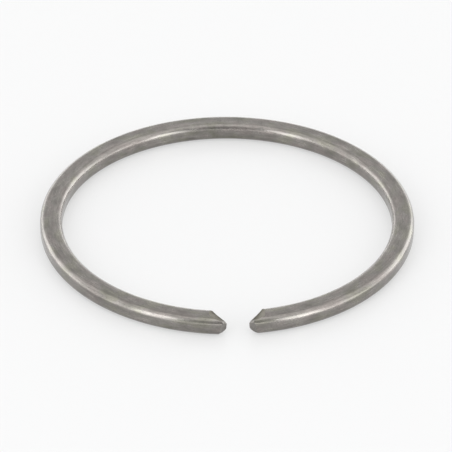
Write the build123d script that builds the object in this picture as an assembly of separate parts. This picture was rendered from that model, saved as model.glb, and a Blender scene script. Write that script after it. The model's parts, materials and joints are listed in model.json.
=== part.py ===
"""External snap ring, coiled from rolled flat spring wire with rounded edges.

The ring lies flat on z = 0 with its axis on Z and its gap towards -Y. Both ends are
sheared on a slant and tumbled round, so the gap is narrow between the outer tips and
widens towards the bore. Lengths are in millimetres and angles in degrees.
"""
from build123d import *
import os
from math import cos, radians, sin

# Flat wire, and the ring that it is coiled into, in its free state. Rolling leaves two
# arcs in each corner of the wire: a tighter one at the flat, with its share of the
# corner's right angle, and a fuller one at the side.
bore_diameter = 62.6
wire_width = 4.2
wire_thickness = 3.5
flat_corner_radius = 1.1
flat_corner_turn = 45.0
side_corner_radius = 1.3

# Sheared ends: the tip's corner before rounding, and the slants of its two faces,
# the shear from the gap's middle plane and the relief from the plane across it
tip_gap = 4.0
tip_inset = 0.85
shear_slant = 32.0
relief_slant = 30.0

# Tumbled edges of the ends. The end's form stands proud of the flats by the run-out, so
# that its rounding meets each flat at a faint crisp line.
end_edge_radius = 1.4
end_run_out = 0.02
nose_radius = 0.4

# Values worked out from the sizes above
outer_radius = bore_diameter / 2 + wire_width
mean_radius = outer_radius - wire_width / 2
largest_rounding = 0.45 * min(wire_width, wire_thickness)
flat_corner = min(flat_corner_radius, largest_rounding)
side_corner = min(side_corner_radius, largest_rounding)
turn_share = sin(radians(flat_corner_turn))
corner_run = flat_corner * turn_share + side_corner * (1 - turn_share)
end_rounding = min(end_edge_radius, 0.45 * wire_thickness)
end_height = wire_thickness + 2 * end_run_out
tip = Vector(tip_gap / 2, tip_inset - outer_radius)
shear_way = Vector(sin(radians(shear_slant)), cos(radians(shear_slant)))
relief_way = Vector(cos(radians(relief_slant)), -sin(radians(relief_slant)))
shear_far = tip + shear_way * 3 * wire_width
relief_far = tip + relief_way * 3 * wire_width
gap_half_width = max(shear_far.X, relief_far.X)


def wire_section():
    """The wire's section about its own middle: one quarter drawn, then mirrored twice."""
    centre = Vector(0, 0)
    top = Vector(0, wire_thickness / 2)
    side = Vector(wire_width / 2, 0)
    with BuildSketch() as section:
        with BuildLine():
            flat = Line(top, top + Vector(wire_width / 2 - corner_run, 0))
            shoulder = JernArc(flat @ 1, flat % 1, flat_corner, -flat_corner_turn)
            cheek = JernArc(shoulder @ 1, shoulder % 1, side_corner, flat_corner_turn - 90)
            Polyline(cheek @ 1, side, centre, top)
        make_face()
        mirror(about=Plane.XZ)
        mirror(about=Plane.YZ)
    return section.sketch


def coiled_wire():
    """The closed coil: the wire's section turned once about the ring's axis."""
    with BuildPart() as coil:
        with BuildSketch(Plane.XZ):
            with Locations((mean_radius, wire_thickness / 2)):
                add(wire_section())
        revolve(axis=Axis.Z)
    return coil.part


def end_form():
    """The block that the +X end fills: a shear face and a relief face, rounded all over."""
    back = gap_half_width + wire_width
    outline = [shear_far, tip, relief_far, Vector(back, relief_far.Y), Vector(back, shear_far.Y)]
    middle = Plane(tip, z_dir=shear_way - relief_way)
    with BuildPart() as block:
        with BuildSketch(Plane.XY.offset(-end_run_out)):
            Polygon(*outline, align=None)
        extrude(amount=end_height)
        level_edges = block.edges().filter_by(Axis.Z, reverse=True)
        rims = level_edges.filter_by(lambda edge: middle.contains(edge @ 0) or middle.contains(edge @ 1))
        fillet(rims, end_rounding)
        ridge = block.edges().filter_by(lambda edge: middle.contains(edge @ 0) and middle.contains(edge @ 1))
        fillet(ridge, nose_radius)
    return block.part


def gap_space(end):
    """What the shear takes away: everything about the gap that neither end fills."""
    with BuildPart() as space:
        with Locations((0, (shear_far.Y + relief_far.Y) / 2, wire_thickness / 2)):
            Box(2 * gap_half_width, shear_far.Y - relief_far.Y, end_height)
        add(end, mode=Mode.SUBTRACT)
        add(mirror(end, about=Plane.YZ), mode=Mode.SUBTRACT)
    return space.part


def snap_ring():
    """The finished ring, one piece of wire from tip to tip."""
    return coiled_wire() - gap_space(end_form())


os.makedirs("parts", exist_ok=True)
export_step(snap_ring(), "parts/snap_ring.step")
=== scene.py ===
"""The look of an external snap ring of rolled spring wire, lying on a pale studio floor.

Lengths are in metres unless a name says mm. The ring's axis is Z and its gap faces -Y.
"""
import json
from math import cos, hypot, pi, radians, sin, tan

import bmesh
import bpy
from mathutils import Matrix, Vector


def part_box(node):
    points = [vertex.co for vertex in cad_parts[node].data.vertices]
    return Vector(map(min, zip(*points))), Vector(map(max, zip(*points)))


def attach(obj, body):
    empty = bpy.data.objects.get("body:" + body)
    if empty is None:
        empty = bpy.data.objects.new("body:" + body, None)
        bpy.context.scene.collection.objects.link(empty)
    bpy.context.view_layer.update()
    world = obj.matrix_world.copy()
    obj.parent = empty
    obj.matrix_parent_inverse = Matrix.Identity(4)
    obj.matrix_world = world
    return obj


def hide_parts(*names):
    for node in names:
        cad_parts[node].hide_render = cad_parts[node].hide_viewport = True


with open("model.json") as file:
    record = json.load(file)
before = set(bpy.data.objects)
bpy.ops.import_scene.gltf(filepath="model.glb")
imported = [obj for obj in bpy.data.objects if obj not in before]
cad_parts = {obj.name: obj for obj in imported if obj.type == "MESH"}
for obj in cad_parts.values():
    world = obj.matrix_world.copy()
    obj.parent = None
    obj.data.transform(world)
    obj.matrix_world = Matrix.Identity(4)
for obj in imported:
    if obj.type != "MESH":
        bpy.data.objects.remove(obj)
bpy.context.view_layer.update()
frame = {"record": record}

MM = 0.001

# The ring, from the frame where it states a size
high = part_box("snap_ring")[1]
outer_radius = min(high.x, high.y)
wire_thickness = high.z
bore_radius = frame["record"]["mounts"][0]["dims"]["r_mm"] * MM
wire_width = outer_radius - bore_radius
mean_radius = (outer_radius + bore_radius) / 2
wire_corner_radius = 1.2 * MM

# Sheared and tumbled ends. The tip is the sharp corner of the +X end, before it is rounded.
# The shear slants from the gap's middle plane, and the relief behind the tip from the plane
# across it. The shares are of the rounding that the shear's own rims get.
tip_off_middle = 1.87 * MM
tip_inset = 0.85 * MM
shear_slant = radians(36)
relief_slant = radians(30)
end_edge_radius = 1.4 * MM
relief_share_above = 0.6
relief_share_below = 0.9
nose_share = 0.29
tip = Vector((tip_off_middle, tip_inset - outer_radius, 0))
shear_way = Vector((sin(shear_slant), cos(shear_slant), 0))
relief_way = Vector((cos(relief_slant), -sin(relief_slant), 0))

# The plate that cuts both ends: how far it stands proud of the wire's flats, how long its
# shears are, and how many wire widths it reaches beyond the tips and beyond the ring
run_out = 0.05 * MM
shear_length = 1.45 * wire_width
widths_beyond_tip = 3
widths_beyond_ring = 2

# The shear draws the metal down over a wider strip at the tip than at the bore, and it does
# so mostly at the upper face. The strip's widths are multiples of the plain rounding's. What
# lies deeper behind the shear, or more shear lengths from the tip, than the last two stays put.
draw_at_tip = 2.8
draw_at_far_end = 0.4
draw_below_share = 0.55
draw_depth = 1.5 * end_edge_radius
draw_lengths = 1.01

# The relief leans, so that the tip reaches further out at the upper face than at the lower
lead_above = 0.10 * MM
drag_below = 0.35 * MM

# Mesh density, and the angle from which an edge is left sharp
ring_steps = 360
corner_segments = 12
end_segments = 12
support_margin = 0.06 * MM
crease_angle = radians(24)

# Rolled surface: how often each pattern repeats in a millimetre along, across and up the wire
streak_repeats = (0.42, 4.6, 4.6)
blotch_repeats = (0.30, 0.55, 0.55)
tint_repeats = (0.24, 0.5, 0.5)
speck_repeats = (3.0, 4.2, 4.2)
grain_repeats = (9.0, 14.0, 14.0)

# Rolled surface: its greys, and the tints and shades that they are multiplied by, each after
# the value of its pattern. The last shades are a painted highlight along the flats' edge at the
# bore; their value is the share of the wire's width from the bore.
olive = (0.98, 1.0, 0.925)
plain = (1, 1, 1)
plum = (1.02, 0.985, 0.99)
blotch_greys = [(0.30, (0.193, 0.181, 0.167)), (0.70, (0.288, 0.270, 0.252))]
tint_colours = [(0.38, olive), (0.5, plain), (0.62, plum)]
streak_shades = [(0.3, 0.76), (0.7, 1.08)]
speck_shades = [(0.30, 0.74), (0.47, 1.0)]
# painted highlight: the flats are painted brighter along their edge at the bore
bore_edge_highlight_shades = [(0.18, 1.0), (0.27, 1.2), (0.48, 1.0)]

# Rolled surface: its least roughness and what blotches and streaks add to it, the shares of
# streaks and grain in its fine relief, and its film of oil
rolled_roughness = 0.12
blotch_roughness = 0.16
streak_roughness = 0.10
streak_height = 0.7
grain_height = 0.3
oil_film_weight = 0.35
oil_film_roughness = 0.2

# Cut surface: its patterns, the values at which its patches are darkest and lightest, and
# between which shares of the wire's half thickness its rims' painted light sets in: a painted
# highlight on the sheared ends, painted shade on the relief beyond the tip
patch_repeats = (0.9, 0.9, 0.9)
cut_grain_repeats = (8.0, 8.0, 3.0)
darkest_patch = 0.35
lightest_patch = 0.65
rim_start = 0.76
rim_end = 0.96
cut_grain_roughness = 0.2

# Camera: where the photograph was taken from, in the photograph's own 452-pixel frame
photo_pixels = 452
camera_azimuth = radians(-3.46)
camera_elevation = radians(33.687)
camera_roll = radians(0.2736)
camera_distance = 0.8672
focal_pixels = 4561
ring_centre_right_pixels = 1.11
ring_centre_down_pixels = 3.69
sensor_width_mm = 36
nearest_seen = 0.01

# Floor
floor_reach = 3
floor_grey = 0.28
floor_roughness = 0.3
floor_glow = 0.463

# Light tent. Its walls brighten towards the horizon, and are dimmer around two places, each
# given in degrees off the zenith, to the right and to the back.
tent_reach = 0.6
tent_radiance = 1.62
horizon_brightening = 1.9
horizon_focus = 10
dimming_reach = 46
opening_place = (0, -62)
opening_dimming = 1.10
roof_place = (0, 50)
roof_dimming = 0.68
panel_colour = (0.96, 0.985, 1.0)

# The tent's lit panels: name, degrees to the right and to the back, width and height in
# degrees, and radiance
tent_panels = (
    ("front_left_panel", -46, -44, 24, 44, 2.9),
    ("front_right_panel", 45, -56, 24, 46, 2.95),
    ("back_left_panel", -67, 37, 44, 34, 1.2),
    ("back_right_panel", 66, 33, 46, 34, 1.4),
    ("low_right_panel", 75, -22, 16, 22, 1.2))


def new_object(name, bm):
    """Turns a finished bmesh into an object that sits at the origin."""
    mesh = bpy.data.meshes.new(name)
    bm.to_mesh(mesh)
    bm.free()
    piece = bpy.data.objects.new(name, mesh)
    bpy.context.scene.collection.objects.link(piece)
    return piece


def apply_modifiers(piece):
    """Makes the shape that a piece's modifiers give it the piece's own."""
    graph = bpy.context.evaluated_depsgraph_get()
    mesh = bpy.data.meshes.new_from_object(piece.evaluated_get(graph))
    piece.modifiers.clear()
    piece.data = mesh


def wire_section(bm):
    """The wire's section: a rectangle with rounded corners, and points that keep its flats flat."""
    bmesh.ops.create_grid(bm, x_segments=1, y_segments=1, size=0.5)
    bmesh.ops.scale(bm, vec=(wire_width, wire_thickness, 1), verts=bm.verts)
    bmesh.ops.bevel(bm, geom=bm.verts[:], offset=wire_corner_radius, offset_type="OFFSET",
                    segments=corner_segments, profile=0.5, affect="VERTICES", material=-1)
    bmesh.ops.delete(bm, geom=bm.faces[:], context="FACES_ONLY")
    for way, size in ((Vector((1, 0, 0)), wire_width), (Vector((0, 1, 0)), wire_thickness)):
        reach = size / 2 - wire_corner_radius - support_margin
        for side in (-1, 1):
            cuttable = bm.verts[:] + bm.edges[:]
            bmesh.ops.bisect_plane(bm, geom=cuttable, plane_co=way * reach * side, plane_no=way)


def coiled_wire():
    """The closed coil: the wire's section, spun once about the ring's axis."""
    bm = bmesh.new()
    wire_section(bm)
    bmesh.ops.rotate(bm, cent=(0, 0, 0), matrix=Matrix.Rotation(pi / 2, 3, "X"), verts=bm.verts)
    bmesh.ops.translate(bm, vec=(mean_radius, 0, wire_thickness / 2), verts=bm.verts)
    bmesh.ops.spin(bm, geom=bm.verts[:] + bm.edges[:], cent=(0, 0, 0), axis=(0, 0, 1),
                   dvec=(0, 0, 0), angle=2 * pi, steps=ring_steps, use_merge=True)
    bmesh.ops.recalc_face_normals(bm, faces=bm.faces)
    coil = new_object("coil", bm)
    coil.data.materials.append(rolled_steel())
    return coil


def plate_outline():
    """The cutting plate's outline: past the ring all round, and notched by the gap."""
    shear_far = tip + shear_way * shear_length
    relief_far = tip + relief_way * widths_beyond_tip * wire_width
    side = outer_radius + widths_beyond_ring * wire_width
    right = [shear_far, tip, relief_far, Vector((side, relief_far.y, 0)), Vector((side, side, 0))]
    left = [Vector((-point.x, point.y, 0)) for point in reversed(right)]
    return right + left


def rounding_share(ends):
    """The share of the full rounding for an edge at a tip: the nose's, the relief's or all."""
    if abs(ends[0].z - ends[1].z) > run_out:
        return nose_share
    if min(end.y for end in ends) < tip.y - run_out:
        return relief_share_above if ends[0].z > wire_thickness / 2 else relief_share_below
    return 1


def end_plate():
    """A plate with the gap cut out of it, whose rims are rounded as the ring's ends are."""
    bm = bmesh.new()
    below = Vector((0, 0, -run_out))
    face = bm.faces.new([bm.verts.new(point + below) for point in plate_outline()])
    top = bmesh.ops.extrude_face_region(bm, geom=[face])["geom"]
    raised = [item for item in top if isinstance(item, bmesh.types.BMVert)]
    bmesh.ops.translate(bm, vec=(0, 0, wire_thickness + 2 * run_out), verts=raised)
    bmesh.ops.recalc_face_normals(bm, faces=bm.faces)
    weight = bm.edges.layers.float.new("bevel_weight_edge")
    for edge in bm.edges:
        ends = [vert.co for vert in edge.verts]
        if any(abs(abs(end.x) - tip.x) + abs(end.y - tip.y) < run_out for end in ends):
            edge[weight] = rounding_share(ends)
    plate = new_object("end_plate", bm)
    # the sheared end's rims next to the flats get a painted highlight
    plate.data.materials.append(cut_steel(
        "sheared_end", darkest=(0.150, 0.143, 0.119), lightest=(0.213, 0.202, 0.178),
        rim_painted_light=1.45, grazing_shade=0.3, dullness=0.32))
    round_rims(plate)
    shape_ends(plate)
    return plate


def round_rims(plate):
    """Rounds the plate's rims at both tips, each by its own share."""
    rounding = plate.modifiers.new("rounding", "BEVEL")
    rounding.limit_method = "WEIGHT"
    rounding.width = end_edge_radius
    rounding.segments = end_segments
    rounding.use_clamp_overlap = False
    apply_modifiers(plate)


def shape_ends(plate):
    """Gives both tips of the rounded plate the form that shearing and tumbling left."""
    for vert in plate.data.vertices:
        from_tip = off_tip(vert.co)
        shift = drawn_down(from_tip, vert.co.z) + leant(from_tip, vert.co.z)
        vert.co.x += shift.x if vert.co.x > 0 else -shift.x
        vert.co.y += shift.y


def off_tip(place):
    """A place's offset from the tip on its own side, mirrored to the +X side."""
    return Vector((abs(place.x), place.y, 0)) - tip


def drawn_down(from_tip, level):
    """How far a point of the rounding along a shear is moved, so that it widens to the tip."""
    upright_half = wire_thickness / 2 + run_out - end_edge_radius
    rise = (abs(level - wire_thickness / 2) - upright_half) / end_edge_radius
    along = from_tip.dot(shear_way) / shear_length
    depth = from_tip.dot(relief_way)
    if rise <= 0 or depth > draw_depth or along > draw_lengths:
        return Vector()
    draw = draw_at_tip + (draw_at_far_end - draw_at_tip) * max(along, 0)
    share = 1 if level > wire_thickness / 2 else draw_below_share
    return relief_way * depth * (draw - 1) * share * min(rise, 1)


def leant(from_tip, level):
    """How far a point near the tip is moved along the shear, so that the relief leans."""
    nearness = 1 - from_tip.dot(shear_way) / shear_length
    height = level / wire_thickness
    lag = drag_below - (lead_above + drag_below) * height
    return shear_way * lag * min(max(nearness, 0), 1)


def snap_ring():
    """The ring: the coil, cut at its ends by the plate."""
    ring = coiled_wire()
    plate = end_plate()
    cut = ring.modifiers.new("ends", "BOOLEAN")
    cut.operation = "INTERSECT"
    cut.solver = "EXACT"
    cut.material_mode = "TRANSFER"
    cut.object = plate
    apply_modifiers(ring)
    bpy.data.objects.remove(plate)
    ring.name = "drawn_wire_ring"
    ring.data.name = ring.name
    ring.data.shade_smooth()
    finish_cut(ring)
    return ring


def finish_cut(ring):
    """Keeps the cut's border crisp, and gives the relief beyond the tip its own surface."""
    # the relief's rims next to the flats get painted shade
    ring.data.materials.append(cut_steel(
        "tumbled_relief", darkest=(0.215, 0.205, 0.192), lightest=(0.285, 0.272, 0.257),
        rim_painted_light=0.75, grazing_shade=0.8, dullness=0.48))
    relief_index = len(ring.data.materials) - 1
    mitre = (shear_way - relief_way).normalized()
    bm = bmesh.new()
    bm.from_mesh(ring.data)
    for edge in bm.edges:
        on_border = len({face.material_index for face in edge.link_faces}) > 1
        edge.smooth = edge.calc_face_angle(0) < crease_angle and not on_border
    for face in bm.faces:
        if face.material_index and off_tip(face.calc_center_median()).dot(mitre) < 0:
            face.material_index = relief_index
    bm.to_mesh(ring.data)
    bm.free()


class Nodes:
    """Short calls for building one node tree."""

    def __init__(self, tree):
        self.tree = tree

    def add(self, kind, **settings):
        node = self.tree.nodes.new(kind)
        for name, value in settings.items():
            setattr(node, name, value)
        return node

    def link(self, source, target):
        self.tree.links.new(source, target)

    def put(self, value, socket):
        """Links a socket, or sets a plain value."""
        if isinstance(value, bpy.types.NodeSocket):
            self.link(value, socket)
        else:
            socket.default_value = value

    def math(self, operation, a, b=0.0, c=0.0):
        node = self.add("ShaderNodeMath", operation=operation)
        for value, socket in zip((a, b, c), node.inputs):
            self.put(value, socket)
        return node.outputs[0]

    def split(self, vector):
        """The three parts of a vector."""
        node = self.add("ShaderNodeSeparateXYZ")
        self.link(vector, node.inputs[0])
        return node.outputs

    def noise(self, place, repeats, detail, roughness=0.5):
        """A noise that repeats about so often in a unit along each axis."""
        scaled = self.add("ShaderNodeVectorMath", operation="MULTIPLY")
        self.link(place, scaled.inputs[0])
        scaled.inputs[1].default_value = repeats
        node = self.add("ShaderNodeTexNoise")
        self.link(scaled.outputs[0], node.inputs["Vector"])
        node.inputs["Scale"].default_value = 1
        node.inputs["Detail"].default_value = detail
        node.inputs["Roughness"].default_value = roughness
        return node.outputs[0]

    def ramp(self, value, stops):
        """Turns a value into greys or colours, by stops in rising order."""
        node = self.add("ShaderNodeValToRGB")
        self.link(value, node.inputs[0])
        elements = node.color_ramp.elements
        while len(elements) < len(stops):
            elements.new(0.5)
        for element, (place, shade) in zip(elements, stops):
            element.position = place
            element.color = (*shade, 1) if isinstance(shade, tuple) else (shade, shade, shade, 1)
        return node.outputs[0]

    def multiplied(self, colour, other):
        node = self.add("ShaderNodeMix", data_type="RGBA", blend_type="MULTIPLY")
        factor, first, second = node.inputs[0], node.inputs[6], node.inputs[7]
        factor.default_value = 1
        self.link(colour, first)
        self.link(other, second)
        return node.outputs[2]

    def bump(self, height, strength, distance, shader):
        """Roughens a shader's surface by a height pattern."""
        node = self.add("ShaderNodeBump")
        node.inputs["Strength"].default_value = strength
        node.inputs["Distance"].default_value = distance
        self.link(height, node.inputs["Height"])
        self.link(node.outputs[0], shader.inputs["Normal"])


def new_steel(name):
    """A new material, the calls that build its tree, and its metal shader."""
    material = bpy.data.materials.new(name)
    material.use_nodes = True
    material.node_tree.nodes.clear()
    n = Nodes(material.node_tree)
    output = n.add("ShaderNodeOutputMaterial")
    steel = n.add("ShaderNodeBsdfPrincipled")
    n.link(steel.outputs[0], output.inputs[0])
    steel.inputs["Metallic"].default_value = 1.0
    return material, n, steel


def wire_place(n):
    """A point's place in millimetres: along the wire, and across and up from its middle."""
    x, y, z = n.split(n.add("ShaderNodeTexCoord").outputs["Object"])
    radius = n.math("SQRT", n.math("ADD", n.math("MULTIPLY", x, x), n.math("MULTIPLY", y, y)))
    along = n.math("MULTIPLY", n.math("ARCTAN2", x, y), mean_radius / MM)
    across = n.math("MULTIPLY_ADD", radius, 1 / MM, -mean_radius / MM)
    up = n.math("MULTIPLY_ADD", z, 1 / MM, -wire_thickness / MM / 2)
    join = n.add("ShaderNodeCombineXYZ")
    for value, socket in zip((along, across, up), join.inputs):
        n.link(value, socket)
    return join.outputs[0]


def rolled_steel():
    """Rolled spring steel under a thin film of oil: streaks along the wire, mottling and tints.

    A painted highlight brightens the flats along their edge at the bore.
    """
    material, n, steel = new_steel("rolled_spring_steel")
    place = wire_place(n)
    streaks = n.noise(place, streak_repeats, detail=5, roughness=0.6)
    blotches = n.noise(place, blotch_repeats, detail=5, roughness=0.6)
    tints = n.noise(place, tint_repeats, detail=3)
    specks = n.noise(place, speck_repeats, detail=3, roughness=0.6)
    grain = n.noise(place, grain_repeats, detail=4, roughness=0.65)
    share_across = n.math("MULTIPLY_ADD", n.split(place)["Y"], MM / wire_width, 0.5)

    colour = n.ramp(blotches, blotch_greys)
    # the last ramp paints a highlight along the flats' edge at the bore
    for pattern, stops in ((tints, tint_colours), (streaks, streak_shades),
                           (specks, speck_shades), (share_across, bore_edge_highlight_shades)):
        colour = n.multiplied(colour, n.ramp(pattern, stops))
    n.link(colour, steel.inputs["Base Color"])

    roughness = n.math("MULTIPLY_ADD", blotches, blotch_roughness, rolled_roughness)
    roughness = n.math("MULTIPLY_ADD", streaks, streak_roughness, roughness)
    n.link(roughness, steel.inputs["Roughness"])
    streak_relief = n.math("MULTIPLY", streaks, streak_height)
    relief = n.math("ADD", streak_relief, n.math("MULTIPLY", grain, grain_height))
    n.bump(relief, strength=0.4, distance=0.02 * MM, shader=steel)
    steel.inputs["Coat Weight"].default_value = oil_film_weight
    steel.inputs["Coat Roughness"].default_value = oil_film_roughness
    return material


def cut_steel(name, darkest, lightest, rim_painted_light, grazing_shade, dullness):
    """Steel where the wire was cut and tumbled: duller than the rolled faces, with a fine grain.

    Close to the wire's flats its colour is multiplied by the rim's painted light: a painted
    highlight above one, painted shade below one.
    """
    material, n, steel = new_steel(name)
    steel.inputs["Specular Tint"].default_value = (grazing_shade, grazing_shade, grazing_shade, 1)
    place = wire_place(n)
    patches = n.noise(place, patch_repeats, detail=4)
    grain = n.noise(place, cut_grain_repeats, detail=4, roughness=0.65)
    off_middle = n.math("DIVIDE", n.math("ABSOLUTE", n.split(place)["Z"]), wire_thickness / MM / 2)

    shade = n.ramp(patches, [(darkest_patch, darkest), (lightest_patch, lightest)])
    # painted rim light near the flats: a painted highlight above one, painted shade below one
    rim_light = n.ramp(off_middle, [(rim_start, 1.0), (rim_end, rim_painted_light)])
    n.link(n.multiplied(shade, rim_light), steel.inputs["Base Color"])
    n.link(n.math("MULTIPLY_ADD", grain, cut_grain_roughness, dullness), steel.inputs["Roughness"])
    n.bump(grain, strength=0.6, distance=0.03 * MM, shader=steel)
    return material


def pale_floor():
    """A wide, plain, pale floor that is faintly lit from below, as a light table is."""
    bm = bmesh.new()
    bmesh.ops.create_grid(bm, x_segments=1, y_segments=1, size=floor_reach)
    floor = new_object("studio_floor", bm)
    material = bpy.data.materials.new("pale_light_table")
    material.use_nodes = True
    board = material.node_tree.nodes["Principled BSDF"]
    board.inputs["Base Color"].default_value = (floor_grey, floor_grey, floor_grey, 1)
    board.inputs["Roughness"].default_value = floor_roughness
    board.inputs["Emission Color"].default_value = (1, 1, 1, 1)
    board.inputs["Emission Strength"].default_value = floor_glow
    floor.data.materials.append(material)


def toward(sideways, backward):
    """The direction that lies so many degrees off the zenith, to the right and to the back."""
    lean = radians(hypot(sideways, backward))
    return Vector((0, 0, cos(lean))) + Vector((sideways, backward, 0)).normalized() * sin(lean)


def tent_panel(name, sideways, backward, width, height, radiance):
    """An oval, softly lit panel of the light tent, of the angular size given in degrees."""
    way = toward(sideways, backward)
    light = bpy.data.lights.new(name, "AREA")
    light.shape = "ELLIPSE"
    light.color = panel_colour
    light.size = 2 * tent_reach * tan(radians(width / 2))
    light.size_y = 2 * tent_reach * tan(radians(height / 2))
    area = pi / 4 * light.size * light.size_y
    light.energy = pi * area * radiance
    lamp = bpy.data.objects.new(name, light)
    lamp.location = way * tent_reach
    lamp.rotation_euler = way.to_track_quat("Z", "Y").to_euler()
    bpy.context.scene.collection.objects.link(lamp)


def dimmed_around(n, shade, direction, place, dimming):
    """A wall's shade, less so much around one place of the tent."""
    facing = n.add("ShaderNodeVectorMath", operation="DOT_PRODUCT")
    n.link(direction, facing.inputs[0])
    facing.inputs[1].default_value = toward(*place)
    dim = n.add("ShaderNodeMapRange", interpolation_type="SMOOTHSTEP")
    n.link(facing.outputs["Value"], dim.inputs["Value"])
    dim.inputs["From Min"].default_value = cos(radians(dimming_reach))
    dim.inputs["From Max"].default_value = 1
    dim.inputs["To Min"].default_value = 0
    dim.inputs["To Max"].default_value = dimming
    return n.math("SUBTRACT", shade, dim.outputs[0])


def tent_walls():
    """The tent's walls: brightest low down, dimmer at the camera's opening and high at the back."""
    world = bpy.data.worlds.new("tent_walls")
    bpy.context.scene.world = world
    world.use_nodes = True
    n = Nodes(world.node_tree)
    direction = n.add("ShaderNodeTexCoord").outputs["Generated"]
    lowness = n.math("POWER", n.math("SUBTRACT", 1, n.split(direction)["Z"]), horizon_focus)
    shade = n.math("MULTIPLY_ADD", lowness, horizon_brightening, tent_radiance)
    shade = dimmed_around(n, shade, direction, opening_place, opening_dimming)
    shade = dimmed_around(n, shade, direction, roof_place, roof_dimming)
    background = world.node_tree.nodes["Background"]
    n.link(shade, background.inputs["Color"])
    background.inputs["Strength"].default_value = 1.0


def photo_camera():
    """The camera, at the photograph's viewing angle and scale."""
    back = Vector((
        sin(camera_azimuth) * cos(camera_elevation),
        -cos(camera_azimuth) * cos(camera_elevation),
        sin(camera_elevation)))
    level = Vector((0, 0, 1)).cross(back).normalized()
    upright = back.cross(level)
    right = level * cos(camera_roll) + upright * sin(camera_roll)
    up = upright * cos(camera_roll) - level * sin(camera_roll)
    pixel = camera_distance / focal_pixels
    offset = up * ring_centre_down_pixels * pixel - right * ring_centre_right_pixels * pixel
    lens = bpy.data.cameras.new("photo_camera")
    lens.sensor_width = sensor_width_mm
    lens.lens = focal_pixels / photo_pixels * sensor_width_mm
    lens.clip_start = nearest_seen
    camera = bpy.data.objects.new("photo_camera", lens)
    turn = Matrix((right, up, back)).transposed().to_4x4()
    camera.matrix_world = Matrix.Translation(back * camera_distance + offset) @ turn
    bpy.context.scene.collection.objects.link(camera)
    bpy.context.scene.camera = camera


photo_camera()
pale_floor()
tent_walls()
for panel in tent_panels:
    tent_panel(*panel)
bpy.context.scene.view_settings.view_transform = "Standard"

ring = snap_ring()
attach(ring, "root")
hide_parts("snap_ring")
